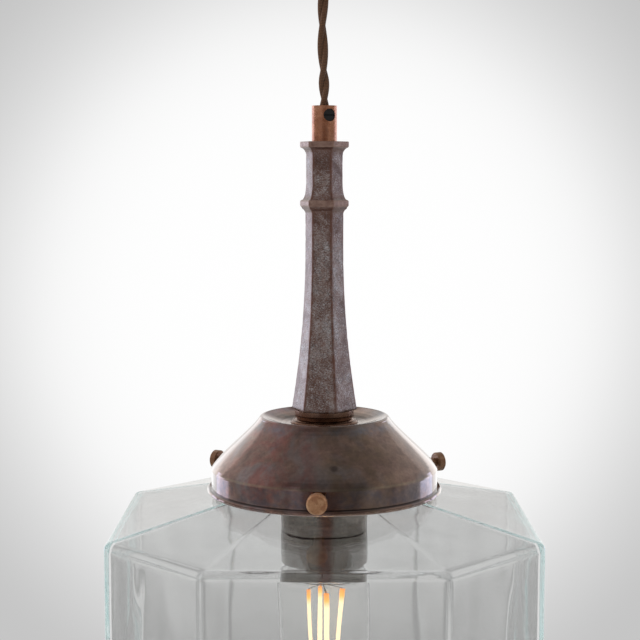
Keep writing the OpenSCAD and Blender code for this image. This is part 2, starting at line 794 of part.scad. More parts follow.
// The flared glass mount that seals the lamp's neck and carries the leads
module bulb_stem() {
    flare_r = bulb_neck_r - bulb_wall - 0.2;
    flare_z = mouth_z + 6;
    color("white", 0.25) rotate_extrude()
        polygon(concat([[0, press_z], [2.4, press_z]],
            curve([2.6, press_z + 1], [2.8, flare_z - 3], [flare_r - 4, flare_z - 1], [flare_r, flare_z], 6),
            [[flare_r, flare_z + 1]],
            curve([flare_r - 1, flare_z + 1], [flare_r - 5, flare_z], [1.8, flare_z - 2],
                [1.6, press_z + 4], 6),
            [[0, press_z + 4]]));
}

// The ends of filament k: they lean in and twist a little on the way down
function filament_top(k) =
    filament_out * heading(filament_turn + 90 * k) + [0, 0, filament_top_z];
function filament_foot(k) =
    filament_out * filament_in * heading(filament_turn + 90 * k + filament_twist)
        + [0, 0, filament_low_z];

module bulb_filament(k) {
    color("khaki") rod_between(filament_top(k - 1), filament_foot(k - 1), filament_d / 2);
}

module bulb_leads() {
    color("silver") for (k = [0:3])
        rod_between([0, 0, press_z] - weld_gap + 1.4 * heading(filament_turn + 90 * k),
            filament_top(k) + weld_gap, lead_r);
}

// The wire star that ties the filaments' lower ends
module bulb_anchor() {
    color("silver") union() {
        for (k = [0:3]) rod_between([0, 0, filament_low_z - 3], filament_foot(k) - weld_gap, lead_r);
        translate([0, 0, filament_low_z - 3]) sphere(r = 2 * lead_r);
    }
}

rose_strap();
rose_cover();
rose_side_screw(-1);  // rose_side_screw_1
rose_side_screw(1);  // rose_side_screw_2
terminal_block();
terminal_tube(pole_x[0]);  // terminal_tube_1
terminal_tube(pole_x[1]);  // terminal_tube_2
terminal_screws();
rose_core(-1, pole_x[0]);  // rose_core_1
rose_core(1, pole_x[1]);  // rose_core_2
rose_grip();
rose_grip_screw();
rose_lock_nut();
flex_in_rose();
flex();
flex_in_stem();
stem_grip();
stem_grip_screw();
stem_tube();
column();
column_seat();
gallery();
gallery_washer();
gallery_nut();
thumb_bush(thumb_turns[0]);  // thumb_bush_1
thumb_bush(thumb_turns[1]);  // thumb_bush_2
thumb_bush(thumb_turns[2]);  // thumb_bush_3
thumb_screw(thumb_turns[0]);  // thumb_screw_1
thumb_screw(thumb_turns[1]);  // thumb_screw_2
thumb_screw(thumb_turns[2]);  // thumb_screw_3
glass_shade();
holder_cap();
holder_skirt();
holder_insert();
thread_shell();
centre_contact();
side_contact();
holder_terminal(-1);  // holder_terminal_1
holder_terminal(1);  // holder_terminal_2
holder_terminal_screw(-1);  // holder_terminal_screw_1
holder_terminal_screw(1);  // holder_terminal_screw_2
holder_core(-1);  // holder_core_1
holder_core(1);  // holder_core_2
bulb_envelope();
bulb_cap();
bulb_insulator();
bulb_contact();
bulb_stem();
bulb_leads();
bulb_filament(1);  // bulb_filament_1
bulb_filament(2);  // bulb_filament_2
bulb_filament(3);  // bulb_filament_3
bulb_filament(4);  // bulb_filament_4
bulb_anchor();
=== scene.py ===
import json
import math

import bmesh
import bpy
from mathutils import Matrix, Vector, noise


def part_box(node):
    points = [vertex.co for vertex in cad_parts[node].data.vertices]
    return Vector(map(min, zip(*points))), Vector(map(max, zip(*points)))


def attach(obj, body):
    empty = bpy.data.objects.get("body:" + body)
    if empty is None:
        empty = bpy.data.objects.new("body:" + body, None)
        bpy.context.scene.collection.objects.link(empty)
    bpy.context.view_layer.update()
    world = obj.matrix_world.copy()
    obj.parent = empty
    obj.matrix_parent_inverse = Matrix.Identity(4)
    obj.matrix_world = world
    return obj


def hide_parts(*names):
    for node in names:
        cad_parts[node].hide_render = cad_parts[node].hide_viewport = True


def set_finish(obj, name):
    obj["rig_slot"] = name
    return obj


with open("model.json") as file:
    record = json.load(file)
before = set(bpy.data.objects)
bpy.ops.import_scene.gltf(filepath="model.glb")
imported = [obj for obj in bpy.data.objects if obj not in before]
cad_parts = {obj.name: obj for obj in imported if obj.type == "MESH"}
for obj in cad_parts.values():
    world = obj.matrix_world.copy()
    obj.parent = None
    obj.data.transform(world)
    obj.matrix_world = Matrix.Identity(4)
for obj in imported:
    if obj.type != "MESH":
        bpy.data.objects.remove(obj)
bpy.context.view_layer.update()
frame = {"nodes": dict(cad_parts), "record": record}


def mm(value):
    return value / 1000


# Camera, at the photograph's viewing angle

CAMERA_PLACE = (-0.00152, -0.6991, -0.13608)
CAMERA_DOWN = 5.82
CAMERA_TURN = 0.05
SENSOR_WIDTH = 36
FOCAL_LENGTH = 80.514
NEAR_CLIP = 0.01

camera = bpy.data.objects.new("camera", bpy.data.cameras.new("camera"))
camera.location = CAMERA_PLACE
camera.rotation_euler = (math.radians(90 - CAMERA_DOWN), 0, math.radians(CAMERA_TURN))
camera.data.sensor_width = SENSOR_WIDTH
camera.data.lens = FOCAL_LENGTH
camera.data.clip_start = NEAR_CLIP
bpy.context.scene.collection.objects.link(camera)
bpy.context.scene.camera = camera


# Mesh helpers

def mesh_object(name, points, faces, smooth=True):
    mesh = bpy.data.meshes.new(name)
    mesh.from_pydata([tuple(p) for p in points], [], faces)
    work = bmesh.new()
    work.from_mesh(mesh)
    bmesh.ops.recalc_face_normals(work, faces=work.faces)
    work.to_mesh(mesh)
    work.free()
    mesh.update()
    mesh.shade_smooth() if smooth else mesh.shade_flat()
    made = bpy.data.objects.new(name, mesh)
    bpy.context.scene.collection.objects.link(made)
    return made


def ring_faces(rings, count, closed_loop=False):
    """Quads between rings of count points each; closed_loop joins the last ring to the first."""
    faces = []
    last = rings if closed_loop else rings - 1
    for i in range(last):
        for k in range(count):
            a = i * count + k
            b = i * count + (k + 1) % count
            c = (i + 1) % rings * count
            faces.append((a, b, c + (k + 1) % count, c + k))
    return faces


def add_float(obj, name, values):
    layer = obj.data.attributes.new(name, "FLOAT", "POINT")
    layer.data.foreach_set("value", values)


def smooth_step(t):
    """0 to 1 with soft ends, as t goes from 0 to 1."""
    t = max(0.0, min(1.0, t))
    return t * t * (3 - 2 * t)


def spline(knots, x):
    """A smooth curve through knots (x, value), x rising."""
    i = 0
    while i < len(knots) - 2 and x > knots[i + 1][0]:
        i += 1
    x0, y0 = knots[i]
    x1, y1 = knots[i + 1]
    before = knots[i - 1] if i > 0 else (2 * x0 - x1, 2 * y0 - y1)
    after = knots[i + 2] if i + 2 < len(knots) else (2 * x1 - x0, 2 * y1 - y0)
    m0 = (y1 - before[1]) / (x1 - before[0])
    m1 = (after[1] - y0) / (after[0] - x0)
    t = (x - x0) / (x1 - x0)
    span = x1 - x0
    h0 = 2 * t ** 3 - 3 * t ** 2 + 1
    h1 = t ** 3 - 2 * t ** 2 + t
    h2 = -2 * t ** 3 + 3 * t ** 2
    h3 = t ** 3 - t ** 2
    return h0 * y0 + h1 * span * m0 + h2 * y1 + h3 * span * m1


# Flex: two braided cores, twisted, held taut between the two cord grips

CORE_R = 1.48
CORE_OUT = 1.08
CORE_APART = 0.03
CORE_SIDES = 28
FLEX_TOP = -45.2
FLEX_LOW = -103.2
FLEX_BOW = 0.95
FLEX_BOW_SKEW = 1.6
FLEX_SWAY = 0.25

# (height, turn in degrees) down the free run, and the turns a mm below and above it
TWIST = [(-113.0, -600), (-103.2, -492), (-99.9, -450), (-92.7, -360), (-86.0, -270), (-75.9, -180),
         (-64.9, -90), (-54.3, 0), (-45.2, 80), (-34.0, 180)]
TWIST_BELOW = 10
TWIST_ABOVE = 9


def twist_at(z):
    """How far the pair has turned at a height, in degrees."""
    if z < TWIST[0][0]:
        return TWIST[0][1] + (z - TWIST[0][0]) * TWIST_BELOW
    return spline(TWIST, min(z, TWIST[-1][0])) + max(0.0, z - TWIST[-1][0]) * TWIST_ABOVE


def flex_centre(z):
    """The pair's middle at a height: nearly straight, with the slight bow of the photograph."""
    s = (z - FLEX_LOW) / (FLEX_TOP - FLEX_LOW)
    if s <= 0 or s >= 1:
        return (0.0, 0.0)
    bow = -FLEX_BOW * math.sin(math.pi * s ** FLEX_BOW_SKEW)
    return (bow, FLEX_SWAY * math.sin(2 * math.pi * s))


def core_point(z, side):
    turn = math.radians(twist_at(z) + 180 * side)
    x, y = flex_centre(z)
    return Vector((x + CORE_OUT * math.cos(turn), y + CORE_OUT * math.sin(turn), z))


def twisted_pair(name, top, low, step):
    """Two round cores twisted together, pressed flat where they touch."""
    count = CORE_SIDES
    rings = max(2, round((top - low) / step)) + 1
    points = []
    faces = []
    marks = []
    for side in (0, 1):
        run = 0.0
        start = len(points)
        before = None
        for i in range(rings):
            z = low + (top - low) * i / (rings - 1)
            here = core_point(z, side)
            ahead = (core_point(z + 0.1, side) - core_point(z - 0.1, side)).normalized()
            across = ahead.cross(Vector((0, 1, 0))).normalized()
            other = ahead.cross(across)
            turn = math.radians(twist_at(z) + 180 * side)
            outward = Vector((math.cos(turn), math.sin(turn), 0))
            middle = Vector((*flex_centre(z), z))
            run += (here - before).length if before else 0.0
            before = here
            for k in range(count):
                angle = 2 * math.pi * k / count
                point = here + CORE_R * (math.cos(angle) * across + math.sin(angle) * other)
                inside = CORE_APART - (point - middle).dot(outward)
                if inside > 0:
                    point += inside * outward
                if i in (0, rings - 1):
                    point.z = z
                points.append(point / 1000)
                marks.append((run, angle))
        faces += [tuple(start + v for v in f) for f in ring_faces(rings, count)]
        faces.append(tuple(start + k for k in range(count - 1, -1, -1)))
        faces.append(tuple(start + (rings - 1) * count + k for k in range(count)))
    made = mesh_object(name, points, faces)
    add_float(made, "run", [m[0] for m in marks])
    add_float(made, "across", [math.sin(m[1]) for m in marks])
    add_float(made, "along", [math.cos(m[1]) for m in marks])
    return made


flex = twisted_pair("twisted_flex", FLEX_TOP, FLEX_LOW, 0.3)
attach(flex, "pendant")
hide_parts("flex")
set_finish(flex, "flex_braid")

stem_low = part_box("flex_in_stem")[0].z * 1000
rose_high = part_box("flex_in_rose")[1].z * 1000
flex_low_part = twisted_pair("twisted_flex_in_stem", FLEX_LOW, stem_low, 1.2)
flex_high_part = twisted_pair("twisted_flex_in_rose", rose_high, FLEX_TOP, 0.6)
for piece, node in ((flex_low_part, "flex_in_stem"), (flex_high_part, "flex_in_rose")):
    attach(piece, "pendant")
    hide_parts(node)
    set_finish(piece, "flex_braid")


# Column: the CAD column's six-sided profile, with rounded edges and the unevenness of a rough casting

def bezier(a, b, c, d, n):
    """n + 1 points down the curve from a to d that b and c pull on."""
    made = []
    for i in range(n + 1):
        t = i / n
        s = 1 - t
        w = (s ** 3, 3 * s * s * t, 3 * s * t * t, t ** 3)
        made.append((w[0] * a[0] + w[1] * b[0] + w[2] * c[0] + w[3] * d[0],
                     w[0] * a[1] + w[1] * b[1] + w[2] * c[1] + w[3] * d[1]))
    return made


COLUMN_H = 131.0
FOOT_R = 16.4
WAIST_R = 9.5
NECK_R = 9.1
COLLAR_R = 12.1
COLLAR_T = 2.6
COLLAR_LOW = -28.5
BORE_R = 5.2
COLUMN_TURN = -8.7
PROFILE_STEP = 0.8
EDGE_ROUND = 0.7
COLLAR_SHARPER = 0.2
EDGE_REACH = 0.9
ARC_SPANS = 5
FACE_SPANS = 13

# The unevenness of the casting: how deep in mm, and how fine
SWELL = 0.12
SWELL_SCALE = 0.35
LUMPS = 0.07
LUMPS_SCALE = 0.9
BULGE = 0.05
BULGE_SCALE = 0.13
BULGE_SHIFT = Vector((7, 3, 1))
NICKS = 0.12
NICKS_SCALE = 0.5
NICKS_SHIFT = Vector((0, 9, 0))
COLLAR_WORN = 0.7
CAST_SKIN = 0.02

# (height, reach, strength) of the painted shade that darkens the hollows beside the two collars
PAINTED_COLLAR_SHADE = [(-COLLAR_T - 1.2, 2.2, 1.0), (COLLAR_LOW + 1.6, 1.6, 0.8), (COLLAR_LOW - COLLAR_T - 1.6, 2.2, 1.0)]


def column_profile():
    """(radius, height) down the column's corners, from its top, in short steps."""
    low = COLLAR_LOW
    foot = -COLUMN_H
    path = [(COLLAR_R - 0.3, 0), (COLLAR_R - 0.08, -0.1), (COLLAR_R, -0.35), (COLLAR_R, -COLLAR_T + 0.5),
            (COLLAR_R - 0.12, -COLLAR_T + 0.1)]
    path += bezier((COLLAR_R - 0.4, -COLLAR_T - 0.3), (COLLAR_R - 1.5, -COLLAR_T - 0.7),
                   (NECK_R + 0.1, -COLLAR_T - 1.8), (NECK_R, -COLLAR_T - 4.4), 12)
    path += bezier((NECK_R, low + 9), (NECK_R + 0.1, low + 5), (NECK_R + 0.5, low + 1.8),
                   (COLLAR_R - 1.2, low + 0.5), 14)
    path += [(COLLAR_R - 0.35, low + 0.15), (COLLAR_R - 0.1, low - 0.2), (COLLAR_R, low - 0.6),
             (COLLAR_R, low - COLLAR_T + 0.5), (COLLAR_R - 0.15, low - COLLAR_T),
             (COLLAR_R - 0.7, low - COLLAR_T - 0.6)]
    path += bezier((WAIST_R + 1.6, low - COLLAR_T - 1.3), (WAIST_R + 0.7, low - COLLAR_T - 2),
                   (WAIST_R + 0.1, low - COLLAR_T - 2.6), (WAIST_R, low - COLLAR_T - 3.8), 6)
    path += bezier((WAIST_R, foot + 88), (WAIST_R - 0.3, foot + 56), (WAIST_R + 1.8, foot + 31),
                   (FOOT_R - 0.1, foot + 0.5), 90)
    path.append((FOOT_R - 0.5, foot))
    dense = [path[0]]
    for a, b in zip(path, path[1:]):
        parts = max(1, round(math.dist(a, b) / PROFILE_STEP))
        for i in range(1, parts + 1):
            dense.append((a[0] + (b[0] - a[0]) * i / parts, a[1] + (b[1] - a[1]) * i / parts))
    return dense


def collar_wear(height):
    """1 on the rubbed collars, 0 on the rough faces."""
    for top in (0.0, COLLAR_LOW):
        if top + 0.4 > height > top - COLLAR_T - 0.4:
            return 1.0
    return 0.0


def painted_collar_shade(height):
    """How much painted shade darkens the hollows beside the collars."""
    return max(strength * math.exp(-abs(height - place) / reach) for place, reach, strength in PAINTED_COLLAR_SHADE)


def hexagon(radius, rounding):
    """Points round a hexagon with rounded corners, and how near each is to a corner."""
    points = []
    nearness = []
    inner = radius - rounding / math.cos(math.radians(30))
    for side in range(6):
        corner = 60 * side + COLUMN_TURN
        centre = (inner * math.cos(math.radians(corner)), inner * math.sin(math.radians(corner)))
        for i in range(ARC_SPANS + 1):
            angle = math.radians(corner - 30 + 60 * i / ARC_SPANS)
            points.append((centre[0] + rounding * math.cos(angle), centre[1] + rounding * math.sin(angle)))
            nearness.append(1.0)
        following = corner + 60
        after = (inner * math.cos(math.radians(following)), inner * math.sin(math.radians(following)))
        out = math.radians(corner + 30)
        for i in range(1, FACE_SPANS):
            t = i / FACE_SPANS
            points.append((centre[0] + (after[0] - centre[0]) * t + rounding * math.cos(out),
                           centre[1] + (after[1] - centre[1]) * t + rounding * math.sin(out)))
            reach = min(t, 1 - t) * math.dist(centre, after)
            nearness.append(max(0.0, 1 - reach / EDGE_REACH))
    return points, nearness


def cast_column():
    """The casting as one closed skin: its six-sided outside, and the round bore down its middle."""
    column_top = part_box("column")[1].z * 1000
    profile = column_profile()
    count = 6 * (ARC_SPANS + FACE_SPANS)
    points = []
    edge = []
    wear = []
    collar_shade_marks = []
    for radius, height in profile:
        worn = collar_wear(height)
        outline, near = hexagon(radius, EDGE_ROUND - COLLAR_SHARPER * worn)
        for (x, y), n in zip(outline, near):
            place = Vector((x, y, height))
            rough = noise.noise(place * SWELL_SCALE) * SWELL + noise.noise(place * LUMPS_SCALE) * LUMPS
            rough += BULGE * max(0.0, noise.noise(place * BULGE_SCALE + BULGE_SHIFT))
            nick = NICKS * n * noise.noise(place * NICKS_SCALE + NICKS_SHIFT)
            sunk = (min(0.0, rough) + min(0.0, nick)) * (1 - COLLAR_WORN * worn) - CAST_SKIN
            scale = 1 + sunk / radius
            points.append(Vector((x * scale, y * scale, column_top + height)) / 1000)
            edge.append(n)
            wear.append(worn)
            collar_shade_marks.append(painted_collar_shade(height))
    rings = len(profile)
    for height in (-COLUMN_H, 0):
        for k in range(count):
            x, y = outline[k]
            size = math.hypot(x, y)
            points.append(Vector((x / size * BORE_R, y / size * BORE_R, column_top + height)) / 1000)
            for marks in (edge, wear, collar_shade_marks):
                marks.append(0.0)
    made = mesh_object("column_casting", points, ring_faces(rings + 2, count, closed_loop=True))
    add_float(made, "edge", edge)
    add_float(made, "wear", wear)
    add_float(made, "collar_shade_marks", collar_shade_marks)
    return made


column = cast_column()
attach(column, "pendant")
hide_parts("column")
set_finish(column, "cast_bronze")


# Glass shade: the CAD shade's form, with smooth rounded edges and the slight waves of mould-blown glass

SHADE_B = 101.8
SHADE_A = 54.5
GLASS_T = 3.5
SLOPE = math.atan(24 / SHADE_B)
EDGE_DOWN = 27.5
NECK_OUT = 47.5
NECK_IN = 44.0
LIP_DOWN = 3.6
ARC_PARTS = 10
FLAT_PARTS = 22
WALL_PARTS = 56
BEND_PARTS = 10
SLOPE_PARTS = 18
OUT_ROUND = 3.5
IN_ROUND = 6.0
IN_BEND = 3.0
RIM = (0.12, 0.3, 0.5, 0.7, 0.88)
RIM_ROUND = 0.6

# The waves of the inner skin: how deep in mm, how fine across and up, and where they begin above the foot
WAVE = 0.5
WIDE_WAVE = (0.035, 0.012)
WIDE_SHIFT = Vector((3, 5, 8))
FINE_WAVE = (0.09, 0.03)
FINE_SHARE = 0.5
WAVE_LEVEL = 0.45
WAVE_START = 12


def octagon(inset, rounding):
    """Points round the shade's plan, moved in by inset, with rounded corners."""
    a = SHADE_A - inset * (math.sqrt(2) - 1)
    b = SHADE_B - inset
    corners = [(b, -a), (b, a), (a, b), (-a, b), (-b, a), (-b, -a), (-a, -b), (a, -b)]
    turns = [math.atan2(c[1] - corners[i - 1][1], c[0] - corners[i - 1][0])
             for i, c in enumerate(corners)]
    centres = []
    for i, corner in enumerate(corners):
        before = turns[i]
        after = turns[(i + 1) % 8]
        half = ((after - before) % (2 * math.pi)) / 2
        into = before - math.pi / 2 + half + math.pi
        reach = rounding / math.cos(half)
        x = corner[0] + reach * math.cos(into)
        y = corner[1] + reach * math.sin(into)
        centres.append((x, y, before, half))
    points = []
    for i, (x, y, before, half) in enumerate(centres):
        start = before - math.pi / 2
        for k in range(ARC_PARTS + 1):
            angle = start + 2 * half * k / ARC_PARTS
            points.append((x + rounding * math.cos(angle), y + rounding * math.sin(angle)))
        following = centres[(i + 1) % 8]
        out = start + 2 * half
        for k in range(1, FLAT_PARTS):
            t = k / FLAT_PARTS
            points.append((x + (following[0] - x) * t + rounding * math.cos(out),
                           y + (following[1] - y) * t + rounding * math.sin(out)))
    return points


def wall_profile(low, edge_z, apothem, rounding, neck):
    """(way in from the wall, height) up one skin of the shade, from its foot over the shoulder's edge."""
    lean = math.pi / 2 - SLOPE
    cut = rounding * math.tan(lean / 2)
    rows = []
    for i in range(WALL_PARTS + 1):
        rows.append((0.0, low + (edge_z - cut - low) * i / WALL_PARTS))
    for i in range(1, BEND_PARTS + 1):
        angle = lean * i / BEND_PARTS
        rows.append((rounding * (1 - math.cos(angle)), edge_z - cut + rounding * math.sin(angle)))
    reach = apothem - neck
    start = cut * math.cos(SLOPE)
    for i in range(1, SLOPE_PARTS + 1):
        inset = start + (reach - start) * i / SLOPE_PARTS
        rows.append((inset, edge_z + inset * math.tan(SLOPE)))
    return rows


def wave_in(place):
    """How far the inner skin comes in at a place, by the slow waves of mould-blown glass."""
    across, up = WIDE_WAVE
    bow = noise.noise(Vector((place.x * across, place.y * across, place.z * up)) + WIDE_SHIFT)
    across, up = FINE_WAVE
    bow += FINE_SHARE * noise.noise(Vector((place.x * across, place.y * across, place.z * up)))
    return WAVE * (bow + WAVE_LEVEL)


def skin(low, edge_z, inset, rounding, corner, neck, lip_rows, waved):
    """Rings of points up one skin: the plan shrinks over the shoulder and turns round at the neck."""
    plan = octagon(inset, corner)
    apothem = SHADE_B - inset
    rows = wall_profile(low, edge_z, apothem, rounding, neck)
    rings = []
    for drop, height in rows:
        share = 1 - drop / apothem
        ring = []
        for x, y in plan:
            here = Vector((x * share, y * share, height))
            size = math.hypot(here.x, here.y)
            least = neck / size
            if least > 1:
                here.x *= least
                here.y *= least
                here.z = edge_z + (apothem - apothem * least * share) * math.tan(SLOPE)
            if waved:
                shift = 1 - wave_in(here) * smooth_step((height - low) / WAVE_START) / size
                here.x *= shift
                here.y *= shift
            ring.append(here)
        rings.append(ring)
    for radius, height in lip_rows:
        ring = []
        for x, y in plan:
            size = math.hypot(x, y)
            ring.append(Vector((x / size * radius, y / size * radius, height)))
        rings.append(ring)
    return rings


def glass_shade():
    """The shade as one closed skin: up the outside, over the lip, down the inside and round the rim."""
    low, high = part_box("glass_shade")
    foot = low.z * 1000
    top = high.z * 1000
    edge_z = top - EDGE_DOWN
    lip = top - LIP_DOWN
    outer_lip = [(NECK_OUT, edge_z + 14.2), (NECK_OUT, lip - 3), (NECK_OUT, lip), (NECK_OUT + 1.5, lip),
                 (NECK_OUT + 2, lip + 0.5), (NECK_OUT + 2, top - 1.2), (NECK_OUT + 1.6, top - 0.45),
                 (NECK_OUT + 0.8, top), (NECK_IN + 0.5, top)]
    inner_lip = [(NECK_IN, edge_z + 11.6), (NECK_IN, lip), (NECK_IN, top - 0.5)]
    outer = skin(foot + 1, edge_z, 0, OUT_ROUND, OUT_ROUND, NECK_OUT, outer_lip, False)
    drop = GLASS_T / math.cos(SLOPE)
    inner_edge = edge_z - drop + GLASS_T * math.tan(SLOPE)
    inner = skin(foot + 1, inner_edge, GLASS_T, IN_BEND, IN_ROUND, NECK_IN, inner_lip, True)
    count = len(outer[0])
    rim = []
    for t in RIM:
        ring = []
        for a, b in zip(outer[0], inner[0]):
            here = a.lerp(b, t)
            here.z = foot + 1 - math.sin(math.pi * t) ** RIM_ROUND
            ring.append(here)
        rim.append(ring)
    rings = outer + inner[::-1] + rim[::-1]
    points = [p / 1000 for ring in rings for p in ring]
    return mesh_object("shade_glass", points, ring_faces(len(rings), count, closed_loop=True))


shade = glass_shade()
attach(shade, "pendant")
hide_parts("glass_shade")
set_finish(shade, "clear_glass")


# Materials: helpers

def link_or_set(tree, node, key, value):
    socket = node.inputs[key]
    if isinstance(value, bpy.types.NodeSocket):
        tree.links.new(value, socket)
    else:
        socket.default_value = value


def add(tree, kind, inputs=None, **settings):
    """A new shader node, with its sockets set or linked and its settings made."""
    node = tree.nodes.new("ShaderNode" + kind)
    for key, value in settings.items():
        setattr(node, key, value)
    for key, value in (inputs or {}).items():
        link_or_set(tree, node, key, value)
    return node


def new_material(name, **values):
    """A material with one Principled shader; names of values are its sockets, with _ for a space."""
    made = bpy.data.materials.new(name)
    made.use_nodes = True
    tree = made.node_tree
    tree.nodes.clear()
    out = tree.nodes.new("ShaderNodeOutputMaterial")
    shader = tree.nodes.new("ShaderNodeBsdfPrincipled")
    tree.links.new(shader.outputs[0], out.inputs["Surface"])
    for key, value in values.items():
        shader.inputs[key.replace("_", " ")].default_value = value
    return made, tree, shader


def rgba(red, green, blue):
    """A colour written as 0 to 255, as it looks on a screen."""
    made = []
    for level in (red, green, blue):
        c = level / 255
        made.append(c / 12.92 if c <= 0.04045 else ((c + 0.055) / 1.055) ** 2.4)
    return (*made, 1.0)


def object_coord(tree):
    return add(tree, "TexCoord").outputs["Object"]


def attribute(tree, name):
    return add(tree, "Attribute", attribute_name=name).outputs["Fac"]


def noise_of(tree, coord, scale, detail=4.0, rough=0.55, distortion=0.0):
    return add(tree, "TexNoise", {"Vector": coord, "Scale": scale, "Detail": detail, "Roughness": rough,
                                  "Distortion": distortion}).outputs["Fac"]


def steps(tree, fac, stops, kind="LINEAR"):
    """A colour ramp over fac, from stops (place, colour or grey)."""
    node = add(tree, "ValToRGB", {"Fac": fac})
    ramp = node.color_ramp
    ramp.interpolation = kind
    while len(ramp.elements) < len(stops):
        ramp.elements.new(0.5)
    for element, (place, value) in zip(ramp.elements, stops):
        element.position = place
        element.color = value if isinstance(value, tuple) else (value, value, value, 1)
    return node.outputs["Color"]


def mixed(tree, fac, a, b, blend="MIX"):
    node = add(tree, "Mix", data_type="RGBA", blend_type=blend)
    link_or_set(tree, node, "Factor", fac)
    link_or_set(tree, node, 6, a)
    link_or_set(tree, node, 7, b)
    return node.outputs[2]


def maths(tree, operation, a, b=0.0, c=0.0):
    return add(tree, "Math", {0: a, 1: b, 2: c}, operation=operation).outputs[0]


def times(tree, first, *others):
    """The product of numbers and sockets."""
    for other in others:
        first = maths(tree, "MULTIPLY", first, other)
    return first


def tinted(tree, colour, tint, *shares):
    """The colour under a tint that is as strong as the product of the shares."""
    return mixed(tree, times(tree, *shares), colour, tint)


def vectors(tree, operation, a, b=(0.0, 0.0, 0.0)):
    """The outputs of a vector sum: Vector, or Value where the answer is a number."""
    return add(tree, "VectorMath", {0: a, 1: b}, operation=operation).outputs


def bump(tree, shader, height, strength, distance):
    node = add(tree, "Bump", {"Height": height, "Strength": strength, "Distance": distance})
    tree.links.new(node.outputs[0], shader.inputs["Normal"])


def stretched(tree, coord, scale):
    return add(tree, "Mapping", {"Vector": coord, "Scale": scale}).outputs[0]


def zone(tree, value, low, high, soft):
    """1 where value lies between low and high, falling off over soft on either side."""
    rise = add(tree, "MapRange", {"Value": value, "From Min": low - soft, "From Max": low + soft})
    fall = add(tree, "MapRange", {"Value": value, "From Min": high - soft, "From Max": high + soft,
                                  "To Min": 1.0, "To Max": 0.0})
    return times(tree, rise.outputs[0], fall.outputs[0])


# Materials: metals

PATINA_GRAIN = 900.0
# Where the painted shade of a small dent in the cone lies, and how it is stretched.
DENT_PLACE = (mm(4.4), mm(-50), mm(-271.5))
DENT_SHAPE = (1.0, 0.5, 1.7)
CAST_GRAIN_SHAPE = (1.0, 1.0, 1.6)


def patina(name, dark, mid, light, odd, metallic, rough, patch=45.0, coat=0.0, grain_depth=0.00002,
           odd_share=0.5, finish=None):
    """Aged metal: a base tone in soft patches, an odd tint in some of them, and a fine handled surface."""
    made, tree, shader = new_material(name, Metallic=metallic, Coat_Weight=coat, Coat_Roughness=0.08)
    coord = object_coord(tree)
    cloud = noise_of(tree, coord, patch, 5.0, 0.6, 0.4)
    fine = noise_of(tree, coord, patch * 9, 4.0, 0.65)
    tone = mixed(tree, 0.3, cloud, fine)
    colour = steps(tree, tone, [(0.36, dark), (0.5, mid), (0.66, light)])
    blots = noise_of(tree, coord, patch * 0.7, 3.0, 0.5, 0.8)
    colour = mixed(tree, steps(tree, blots, [(odd_share, 0.0), (odd_share + 0.14, 1.0)]), colour, odd)
    if finish:
        colour = finish(tree, coord, colour)
    tree.links.new(colour, shader.inputs["Base Color"])
    wear = noise_of(tree, coord, patch * 4, 5.0, 0.6)
    tree.links.new(steps(tree, wear, [(0.3, rough * 0.75), (0.7, rough * 1.3)]), shader.inputs["Roughness"])
    bump(tree, shader, noise_of(tree, coord, PATINA_GRAIN, 3.0, 0.6), 0.5, grain_depth)
    return made


